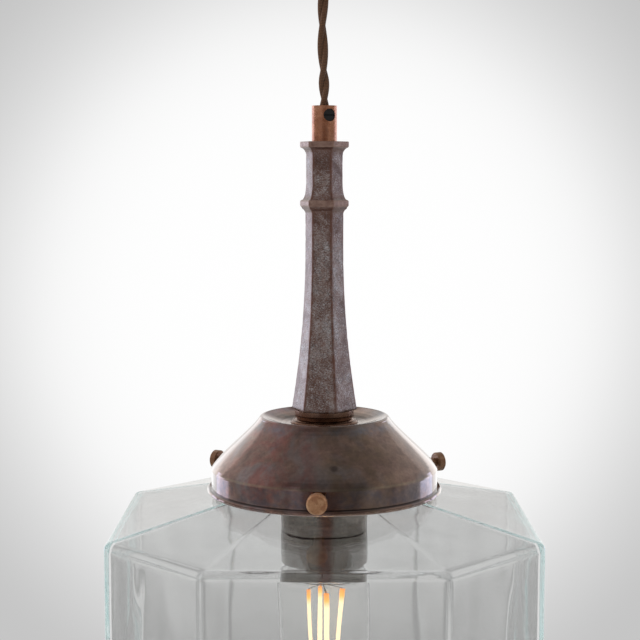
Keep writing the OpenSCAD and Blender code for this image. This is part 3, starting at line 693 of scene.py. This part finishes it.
def gallery_tones(tree, coord, colour):
    """Heat-browned brass: maroon on the left, olive on the right, blue-grey at the crest and a pale line at
    the ridge. Painted light and shade: a paler dish on top, a band darkened towards blue-grey, a dark line
    at the rim and the shade of one small dent.
    """
    parts = add(tree, "SeparateXYZ", {"Vector": coord})
    side = parts.outputs["X"]
    up = parts.outputs["Z"]
    low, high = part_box("gallery")
    rim = low.z + mm(2.5)
    radius = vectors(tree, "LENGTH", vectors(tree, "MULTIPLY", coord, (1.0, 1.0, 0.0))["Vector"])["Value"]
    red = steps(tree, noise_of(tree, coord, 60.0, 6.0, 0.7, 0.6), [(0.42, 0.0), (0.58, 1.0)])
    olive = steps(tree, noise_of(tree, coord, 75.0, 6.0, 0.7, 0.5), [(0.42, 0.0), (0.6, 1.0)])
    grey = steps(tree, noise_of(tree, coord, 130.0, 6.0, 0.7), [(0.45, 0.15), (0.62, 1.0)])
    left = zone(tree, side, mm(-46), mm(-4), mm(8))
    colour = tinted(tree, colour, rgba(136, 78, 68), left, red, 0.75)
    right = zone(tree, side, mm(-2), mm(34), mm(8))
    colour = tinted(tree, colour, rgba(122, 100, 76), right, olive, 0.7)
    crest = zone(tree, up, high.z - mm(5), high.z - mm(0.9), mm(1.6))
    outside = zone(tree, radius, mm(28), mm(80), mm(1.5))
    colour = tinted(tree, colour, rgba(112, 116, 126), crest, grey, outside, 0.7)
    # Painted light: the upward-facing dish is tinted paler tan.
    dish = zone(tree, radius, -1.0, mm(27), mm(1.5))
    colour = tinted(tree, colour, rgba(178, 148, 124), dish, 0.5)
    # Painted reflection: the band is darkened towards blue-grey in patches, for the dark room it faces.
    band = zone(tree, up, rim + mm(0.5), rim + mm(8.6), mm(0.6))
    colour = tinted(tree, colour, rgba(88, 83, 92), band, grey, 0.75)
    crease = zone(tree, up, rim + mm(9.0), rim + mm(9.8), mm(0.4))
    colour = tinted(tree, colour, rgba(150, 136, 112), crease, 0.5)
    # Painted shade: a dark line in the crevice where the band meets the bead.
    rim_crevice_shade = zone(tree, up, rim - mm(0.25), rim + mm(0.2), mm(0.25))
    colour = tinted(tree, colour, rgba(26, 18, 14), rim_crevice_shade, 0.85)
    mottle = noise_of(tree, coord, 240.0, 6.0, 0.72, 0.4)
    mottle = steps(tree, mottle, [(0.38, 0.8), (0.5, 0.98), (0.62, 1.16)])
    colour = mixed(tree, 1.0, colour, mottle, "MULTIPLY")
    # Painted shade: one dark spot stands for the shade in a small dent in the cone.
    away = vectors(tree, "SUBTRACT", coord, DENT_PLACE)["Vector"]
    apart = vectors(tree, "LENGTH", vectors(tree, "MULTIPLY", away, DENT_SHAPE)["Vector"])["Value"]
    ragged = maths(tree, "ADD", apart, times(tree, noise_of(tree, coord, 700.0), mm(1.5)))
    dent = add(tree, "MapRange", {"Value": ragged, "From Min": mm(2.4), "From Max": mm(3.6), "To Min": 0.75,
                                  "To Max": 0.0}).outputs[0]
    return mixed(tree, dent, colour, rgba(52, 34, 26))


def seat_tones(tree, coord, colour):
    """The seat ring: its upper step paler, and painted shade as a dark line in the groove under it."""
    up = add(tree, "SeparateXYZ", {"Vector": coord}).outputs["Z"]
    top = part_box("column_seat")[1].z
    step = zone(tree, up, top - mm(2.2), top + mm(1), mm(0.2))
    colour = tinted(tree, colour, rgba(176, 146, 126), step, 0.6)
    # Painted shade in the groove between the two steps.
    line = zone(tree, up, top - mm(2.75), top - mm(2.35), mm(0.1))
    return tinted(tree, colour, rgba(30, 16, 11), line, 0.85)


def thumb_painted_shade(tree, coord, colour):
    """The two rear thumb screws are darkened: painted shade, as they face away from the light."""
    back = add(tree, "SeparateXYZ", {"Vector": coord}).outputs["Y"]
    # Painted shade on the heads behind the axis.
    return tinted(tree, colour, rgba(104, 76, 57), zone(tree, back, 0.0, 1.0, mm(1)), 0.7)


def holder_painted_reflection(tree, coord, colour):
    """A painted reflection: a reddish-brown streak down the front of the lampholder."""
    parts = add(tree, "SeparateXYZ", {"Vector": coord})
    wander = maths(tree, "SUBTRACT", noise_of(tree, coord, 120.0, 4.0), 0.5)
    side = maths(tree, "ADD", parts.outputs["X"], times(tree, wander, mm(5)))
    front = maths(tree, "LESS_THAN", parts.outputs["Y"], 0.0)
    # Painted reflection down the side that faces the camera.
    streak = zone(tree, side, mm(-2.6), mm(3.4), mm(1.6))
    return tinted(tree, colour, rgba(78, 46, 36), streak, front, 0.9)


def cast_metal():
    """Rough-cast bronze: brown in the pits, pale specks on the faces, brown ridges, rubbed collars and
    painted shade beside them.
    """
    made, tree, shader = new_material("cast_bronze", Metallic=0.6, Coat_Weight=0.5, Coat_Roughness=0.3)
    coord = object_coord(tree)
    tall = stretched(tree, coord, CAST_GRAIN_SHAPE)
    cloud = noise_of(tree, coord, 75.0, 5.0, 0.65, 0.5)
    grain = noise_of(tree, tall, 1500.0, 4.0, 0.8)
    shifted = maths(tree, "ADD", grain, times(tree, maths(tree, "SUBTRACT", cloud, 0.53), 0.5))
    base = steps(tree, cloud, [(0.35, rgba(84, 58, 48)), (0.5, rgba(106, 77, 66)),
                               (0.65, rgba(126, 99, 88))])
    pale = noise_of(tree, coord, 300.0, 3.0)
    pale = steps(tree, pale, [(0.38, rgba(153, 142, 138)), (0.62, rgba(176, 174, 175))])
    colour = mixed(tree, steps(tree, shifted, [(0.44, 0.0), (0.6, 1.0)]), base, pale)
    ragged = steps(tree, noise_of(tree, coord, 260.0, 4.0, 0.6), [(0.35, 0.45), (0.6, 0.95)])
    colour = tinted(tree, colour, rgba(102, 66, 52), attribute(tree, "edge"), ragged)
    # Painted shade: the hollows beside the collars are darkened to brown.
    colour = tinted(tree, colour, rgba(96, 62, 50), attribute(tree, "collar_shade_marks"), 0.85)
    wear = attribute(tree, "wear")
    rubbed = noise_of(tree, coord, 300.0, 4.0, 0.6)
    rubbed = steps(tree, rubbed, [(0.35, rgba(116, 86, 74)), (0.65, rgba(152, 124, 110))])
    colour = tinted(tree, colour, rubbed, wear, 0.85)
    cells = add(tree, "TexVoronoi", {"Vector": tall, "Scale": 520.0}, feature="DISTANCE_TO_EDGE")
    crack = steps(tree, cells.outputs["Distance"], [(0.0, 0.0), (0.1, 1.0)])
    whole = steps(tree, noise_of(tree, coord, 75.0, 3.0, 0.6), [(0.48, 1.0), (0.58, 0.2)])
    dark = mixed(tree, wear, mixed(tree, 1.0, crack, whole, "LIGHTEN"), (1, 1, 1, 1))
    colour = mixed(tree, 1.0, colour, steps(tree, dark, [(0.0, 0.4), (1.0, 1.0)]), "MULTIPLY")
    tree.links.new(colour, shader.inputs["Base Color"])
    tree.links.new(steps(tree, grain, [(0.35, 0.34), (0.65, 0.5)]), shader.inputs["Roughness"])
    pits = noise_of(tree, coord, 1700.0, 4.0, 0.7)
    height = mixed(tree, 0.35, mixed(tree, 0.4, shifted, pits), dark)
    bump(tree, shader, height, 0.8, 0.0003)
    return made


# Materials: braid, glass, filament, ceramic and plastics

THREADS_ALONG = 4.2
THREADS_ROUND = 8.0


def braid():
    """Woven cotton braid: threads cross slantwise round each core, with the soft sheen of the fibres."""
    made, tree, shader = new_material("flex_braid", Roughness=0.8, Sheen_Weight=0.12, Sheen_Roughness=0.5)
    shader.inputs["Sheen Tint"].default_value = rgba(190, 160, 130)
    angle = maths(tree, "ARCTAN2", attribute(tree, "across"), attribute(tree, "along"))
    lengthwise = times(tree, attribute(tree, "run"), THREADS_ALONG)
    round_it = times(tree, angle, THREADS_ROUND)
    one = maths(tree, "SINE", maths(tree, "ADD", lengthwise, round_it))
    two = maths(tree, "SINE", maths(tree, "SUBTRACT", lengthwise, round_it))
    weave = maths(tree, "MULTIPLY_ADD", times(tree, one, two), 0.5, 0.5)
    coord = object_coord(tree)
    fibre = noise_of(tree, stretched(tree, coord, (1.0, 1.0, 0.3)), 4200.0, 4.0, 0.7)
    tone = mixed(tree, 0.45, weave, fibre)
    colour = steps(tree, tone, [(0.2, rgba(36, 18, 8)), (0.5, rgba(70, 45, 27)), (0.8, rgba(112, 79, 52))])
    tree.links.new(colour, shader.inputs["Base Color"])
    bump(tree, shader, mixed(tree, 0.3, weave, fibre), 0.6, 0.00018)
    return made


def clear_glass(name, pane, tint, density, waves):
    """Glass that passes the share pane at each wall, and takes on the tint along its thick edges."""
    made, tree, shader = new_material(name, Roughness=0.0, IOR=1.5, Transmission_Weight=1.0)
    coord = object_coord(tree)
    faint = steps(tree, noise_of(tree, coord, 30.0, 3.0, 0.5),
                  [(0.3, (*(0.97 * level for level in pane), 1)), (0.7, (*pane, 1))])
    tree.links.new(faint, shader.inputs["Base Color"])
    if density:
        inside = add(tree, "VolumeAbsorption")
        inside.inputs["Color"].default_value = tint
        inside.inputs["Density"].default_value = density
        tree.links.new(inside.outputs[0], tree.nodes["Material Output"].inputs["Volume"])
    bump(tree, shader, noise_of(tree, stretched(tree, coord, (1.0, 1.0, 0.3)), 55.0, 2.0, 0.4), 0.3, waves)
    return made


def glow():
    """Filament: bright along its length, with an orange end at the top and the bottom."""
    made, tree, shader = new_material("filament_glow", Roughness=0.6)
    coord = object_coord(tree)
    height = add(tree, "SeparateXYZ", {"Vector": coord}).outputs["Z"]
    low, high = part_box("bulb_filament_1")
    share = maths(tree, "DIVIDE", maths(tree, "SUBTRACT", height, low.z), high.z - low.z)
    grain = noise_of(tree, coord, 2500.0, 2.0, 0.5)
    share = maths(tree, "ADD", share, times(tree, maths(tree, "SUBTRACT", grain, 0.5), 0.015))
    hot = (1.0, 0.84, 0.56, 1)
    shine = steps(tree, share, [(0.0, (1.0, 0.35, 0.06, 1)), (0.09, (1.0, 0.72, 0.36, 1)), (0.2, hot),
                                (0.86, hot), (0.93, (0.95, 0.42, 0.09, 1)), (1.0, (0.8, 0.25, 0.05, 1))])
    tree.links.new(shine, shader.inputs["Emission Color"])
    colour = steps(tree, grain, [(0.3, rgba(230, 170, 80)), (0.7, rgba(250, 200, 110))])
    tree.links.new(colour, shader.inputs["Base Color"])
    shader.inputs["Emission Strength"].default_value = 1.7
    return made


def fired_clay():
    """Glazed ceramic with a faint speckle."""
    made, tree, shader = new_material("ceramic", Roughness=0.25, Coat_Weight=0.6)
    coord = object_coord(tree)
    speck = noise_of(tree, coord, 700.0, 5.0, 0.6)
    colour = steps(tree, speck, [(0.3, rgba(214, 208, 196)), (0.65, rgba(236, 232, 224))])
    tree.links.new(colour, shader.inputs["Base Color"])
    bump(tree, shader, noise_of(tree, coord, 400.0), 0.2, 0.00003)
    return made


def moulded(name, colour_a, colour_b, rough):
    """Moulded plastic or blackened steel: two near tones and a fine uneven gloss."""
    made, tree, shader = new_material(name)
    coord = object_coord(tree)
    colour = steps(tree, noise_of(tree, coord, 300.0, 4.0), [(0.3, colour_a), (0.7, colour_b)])
    tree.links.new(colour, shader.inputs["Base Color"])
    gloss = steps(tree, noise_of(tree, coord, 900.0), [(0.3, rough * 0.8), (0.7, rough * 1.2)])
    tree.links.new(gloss, shader.inputs["Roughness"])
    bump(tree, shader, noise_of(tree, coord, 1800.0), 0.3, 0.00002)
    return made


MATERIALS = {
    "zinc_steel": patina("zinc_steel", rgba(120, 120, 122), rgba(150, 151, 154), rgba(182, 184, 188),
                         rgba(140, 142, 150), 0.9, 0.4),
    "rose_brass": patina("rose_brass", rgba(108, 82, 70), rgba(136, 110, 96), rgba(158, 134, 118),
                         rgba(124, 102, 98), 1.0, 0.24, coat=1.0),
    "grip_copper": patina("grip_copper", rgba(146, 90, 65), rgba(180, 123, 92), rgba(206, 152, 121),
                          rgba(168, 116, 90), 0.85, 0.3, patch=160.0, coat=0.2),
    "grub_black": moulded("grub_black", rgba(8, 7, 7), rgba(20, 18, 17), 0.5),
    "bright_brass": patina("bright_brass", rgba(168, 132, 66), rgba(196, 160, 90), rgba(214, 184, 118),
                           rgba(176, 138, 82), 0.95, 0.25),
    "block_plastic": moulded("block_plastic", rgba(218, 212, 196), rgba(232, 228, 214), 0.45),
    "flex_braid": braid(),
    "cast_bronze": cast_metal(),
    "seat_bronze": patina("seat_bronze", rgba(92, 64, 50), rgba(120, 88, 70), rgba(150, 116, 94),
                          rgba(128, 92, 70), 1.0, 0.26, patch=200.0, coat=0.1, grain_depth=0.000004,
                          finish=seat_tones),
    "gallery_brass": patina("gallery_brass", rgba(112, 84, 72), rgba(136, 108, 94), rgba(156, 130, 114),
                            rgba(132, 120, 118), 1.0, 0.12, patch=60.0, coat=1.0, grain_depth=0.000004,
                            finish=gallery_tones),
    "thumb_copper": patina("thumb_copper", rgba(160, 112, 78), rgba(198, 150, 112), rgba(220, 178, 138),
                           rgba(180, 130, 96), 0.75, 0.34, patch=300.0, coat=0.3, finish=thumb_painted_shade),
    "clear_glass": clear_glass("clear_glass", (0.754, 0.756, 0.751), (0.68, 0.962, 0.955, 1), 2.2, 0.0002),
    "holder_bronze": patina("holder_bronze", rgba(90, 86, 80), rgba(110, 106, 100), rgba(130, 126, 120),
                            rgba(98, 86, 78), 1.0, 0.16, patch=90.0, coat=0.6, odd_share=0.56,
                            grain_depth=0.000005, finish=holder_painted_reflection),
    "ceramic": fired_clay(),
    "lamp_glass": clear_glass("lamp_glass", (0.985, 0.985, 0.98), (1, 1, 1, 1), 0.0, 0.0001),
    "lamp_nickel": patina("lamp_nickel", rgba(150, 146, 138), rgba(176, 172, 164), rgba(200, 197, 190),
                          rgba(166, 160, 150), 0.95, 0.22),
    "insulator_black": moulded("insulator_black", rgba(18, 17, 20), rgba(34, 32, 36), 0.3),
    "filament_glow": glow(),
}

SLOT_OF = {row["node"]: row["material_slot"] for row in frame["record"]["subparts"]}

for node_name, node_object in frame["nodes"].items():
    made = MATERIALS[SLOT_OF[node_name]]
    if not node_object.material_slots:
        node_object.data.materials.append(made)
    for place in node_object.material_slots:
        place.material = made

for piece in (flex, flex_low_part, flex_high_part, column, shade):
    piece.data.materials.append(MATERIALS[piece["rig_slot"]])


# Lamps: soft and plain, and not seen themselves in the glass or the metal

MIDDLE = (0, 0, -0.22)


def area_lamp(name, place, width, height, power, colour=(1, 1, 1)):
    data = bpy.data.lights.new(name, "AREA")
    data.shape = "RECTANGLE"
    data.size = width
    data.size_y = height
    data.energy = power
    data.color = colour
    made = bpy.data.objects.new(name, data)
    made.location = place
    made.rotation_euler = (Vector(MIDDLE) - Vector(place)).to_track_quat("-Z", "Y").to_euler()
    made.visible_camera = False
    made.visible_glossy = False
    made.visible_transmission = False
    bpy.context.scene.collection.objects.link(made)


area_lamp("key", (-0.5, -1.1, 0.7), 0.8, 0.8, 9.0)
area_lamp("left", (-1.4, 0.35, -0.1), 0.6, 1.4, 10.0, (0.97, 0.95, 1.0))
area_lamp("right", (1.4, 0.6, -0.1), 0.5, 1.4, 6.0, (1.0, 0.98, 1.0))


# World: the studio by direction. Y runs from the camera to the backdrop.

BACKDROP_DOWN = 5
BACKDROP_SPREAD = 20.0
BACKDROP = [(0.0, 1.0), (0.19, 0.99), (0.326, 0.94), (0.452, 0.82), (0.586, 0.70), (0.722, 0.62),
            (0.856, 0.56), (1.0, 0.56)]
WHITE = (1.0, 1.0, 1.0, 1)

# What polished metal mirrors, from behind the camera (0) to the backdrop (1)
FACING = [
    (0.0, (0.13, 0.09, 0.08, 1)), (0.022, (0.15, 0.11, 0.10, 1)), (0.04, (0.20, 0.19, 0.19, 1)),
    (0.10, (0.17, 0.16, 0.16, 1)), (0.30, (0.18, 0.17, 0.17, 1)), (0.42, (0.31, 0.30, 0.30, 1)),
    (0.55, (0.38, 0.37, 0.38, 1)), (0.68, (0.44, 0.43, 0.45, 1)), (0.815, (0.48, 0.46, 0.46, 1)),
    (0.828, (0.92, 0.90, 0.90, 1)), (0.90, WHITE), (0.965, WHITE), (0.985, (0.92, 0.90, 0.88, 1)),
    (1.0, (0.9, 0.87, 0.85, 1))]

# Over that: a colour, its strength, and where it lies, as (axis, low, high, softness).
# The axis called side is X without its sign.
LEVEL = ("Z", -0.22, 0.22, 0.03)
LAYERS = [
    ((0.3, 0.3, 0.3, 1), 1.0, [("Z", 0.3, 2.0, 0.1), ("side", -1.0, 0.22, 0.06), ("Y", 0.7, 2.0, 0.08)]),
    ((0.05, 0.05, 0.05, 1), 0.27, [("Z", 0.15, 2.0, 0.08), ("X", 0.1, 2.0, 0.1)]),
    ((0.95, 0.93, 0.93, 1), 0.3, [("side", 0.6, 2.0, 0.1)]),
    ((0.08, 0.07, 0.07, 1), 0.45, [("Y", -0.5, 0.34, 0.08), LEVEL]),
    ((2.05, 2.15, 2.7, 1), 1.0, [("Y", 0.38, 0.755, 0.015), LEVEL]),
    ((1.5, 1.5, 1.5, 1), 1.0, [("Y", 0.775, 0.955, 0.01), LEVEL]),
    ((0.04, 0.03, 0.08, 1), 1.0, [("Y", 0.532, 0.594, 0.005), ("Z", -0.17, 0.17, 0.01)]),
    ((0.56, 0.58, 0.64, 1), 0.6, [("X", -0.56, -0.36, 0.04), ("Y", -1.0, -0.5, 0.1)]),
]
UNDERSIDE = (0.45, 0.43, 0.43, 1)
PLAIN_LIGHT = [(0.0, 0.50), (0.5, 0.62), (1.0, 0.80)]


def backdrop_colour(tree, direction):
    """What the camera sees, by itself or through glass: white, shaded off towards the picture's corners."""
    down = math.radians(BACKDROP_DOWN)
    aim = vectors(tree, "DOT_PRODUCT", direction, (0, math.cos(down), -math.sin(down)))["Value"]
    off = maths(tree, "SUBTRACT", 1.0, aim)
    near = steps(tree, times(tree, off, BACKDROP_SPREAD), BACKDROP, "B_SPLINE")
    return mixed(tree, steps(tree, off, [(0.05, 0.0), (0.13, 1.0)]), near, WHITE)


def mirrored_colour(tree, axes):
    """What polished metal mirrors: the room, with its bright screens and dark gaps laid over it."""
    colour = steps(tree, maths(tree, "MULTIPLY_ADD", axes["Y"], 0.5, 0.5), FACING)
    for layer, strength, limits in LAYERS:
        shares = [zone(tree, axes[axis], low, high, soft) for axis, low, high, soft in limits]
        colour = tinted(tree, colour, layer, *shares, strength)
    below = steps(tree, times(tree, axes["Z"], -1.0), [(0.3, 0.0), (0.75, 1.0)])
    return mixed(tree, below, colour, UNDERSIDE)


def straight_rays(tree):
    """1 for what the camera sees by itself or through glass, 0 for what lights the object."""
    rays = add(tree, "LightPath").outputs
    return maths(tree, "MAXIMUM", rays["Is Camera Ray"], rays["Is Transmission Ray"])


def surroundings(tree):
    direction = add(tree, "TexCoord").outputs["Generated"]
    parts = add(tree, "SeparateXYZ", {"Vector": direction}).outputs
    axes = {"X": parts["X"], "Y": parts["Y"], "Z": parts["Z"], "side": maths(tree, "ABSOLUTE", parts["X"])}
    plain = steps(tree, maths(tree, "MULTIPLY_ADD", axes["Z"], 0.5, 0.5), PLAIN_LIGHT)
    glossy = add(tree, "LightPath").outputs["Is Glossy Ray"]
    colour = mixed(tree, glossy, plain, mirrored_colour(tree, axes))
    return mixed(tree, straight_rays(tree), colour, backdrop_colour(tree, direction))


world = bpy.data.worlds.new("studio")
bpy.context.scene.world = world
world.use_nodes = True
sky = world.node_tree
sky.nodes.clear()
studio = add(sky, "Background", {"Color": surroundings(sky)})
sky.links.new(studio.outputs[0], add(sky, "OutputWorld").inputs["Surface"])


# Floor

FLOOR_Z = -2.0
FLOOR_R = 2.9
FLOOR_SIDES = 96
FLOOR_RINGS = 6
FLOOR_TONE = (0.8, 0.8, 0.8, 1)
FLOOR_SHOWN = 0.8


def floor_material():
    """A pale floor: plain for the light on it, and near to its own tone where the camera sees it."""
    made, tree, shader = new_material("floor_pale", Roughness=0.9)
    speck = noise_of(tree, object_coord(tree), 6.0, 4.0)
    tree.links.new(steps(tree, speck, [(0.3, (0.76, 0.76, 0.76, 1)), (0.7, FLOOR_TONE)]),
                   shader.inputs["Base Color"])
    shine = add(tree, "Emission", {"Color": FLOOR_TONE, "Strength": 1.0})
    both = add(tree, "MixShader", {"Fac": times(tree, straight_rays(tree), FLOOR_SHOWN)})
    tree.links.new(shader.outputs[0], both.inputs[1])
    tree.links.new(shine.outputs[0], both.inputs[2])
    tree.links.new(both.outputs[0], tree.nodes["Material Output"].inputs["Surface"])
    return made


def floor_disc():
    points = [Vector((0, 0, FLOOR_Z))]
    for ring in range(1, FLOOR_RINGS + 1):
        reach = FLOOR_R * ring / FLOOR_RINGS
        for k in range(FLOOR_SIDES):
            angle = 2 * math.pi * k / FLOOR_SIDES
            points.append(Vector((reach * math.cos(angle), reach * math.sin(angle), FLOOR_Z)))
    faces = [(0, 1 + k, 1 + (k + 1) % FLOOR_SIDES) for k in range(FLOOR_SIDES)]
    faces += [tuple(1 + v for v in f) for f in ring_faces(FLOOR_RINGS, FLOOR_SIDES)]
    made = mesh_object("floor", points, faces, smooth=False)
    made.data.materials.append(floor_material())
    return made


floor_disc()

bpy.context.scene.view_settings.view_transform = "Standard"

# Light goes round many times inside the glass's edges, which turn black where it is cut short
bpy.context.scene.cycles.max_bounces = 128
bpy.context.scene.cycles.glossy_bounces = 96
bpy.context.scene.cycles.transmission_bounces = 64
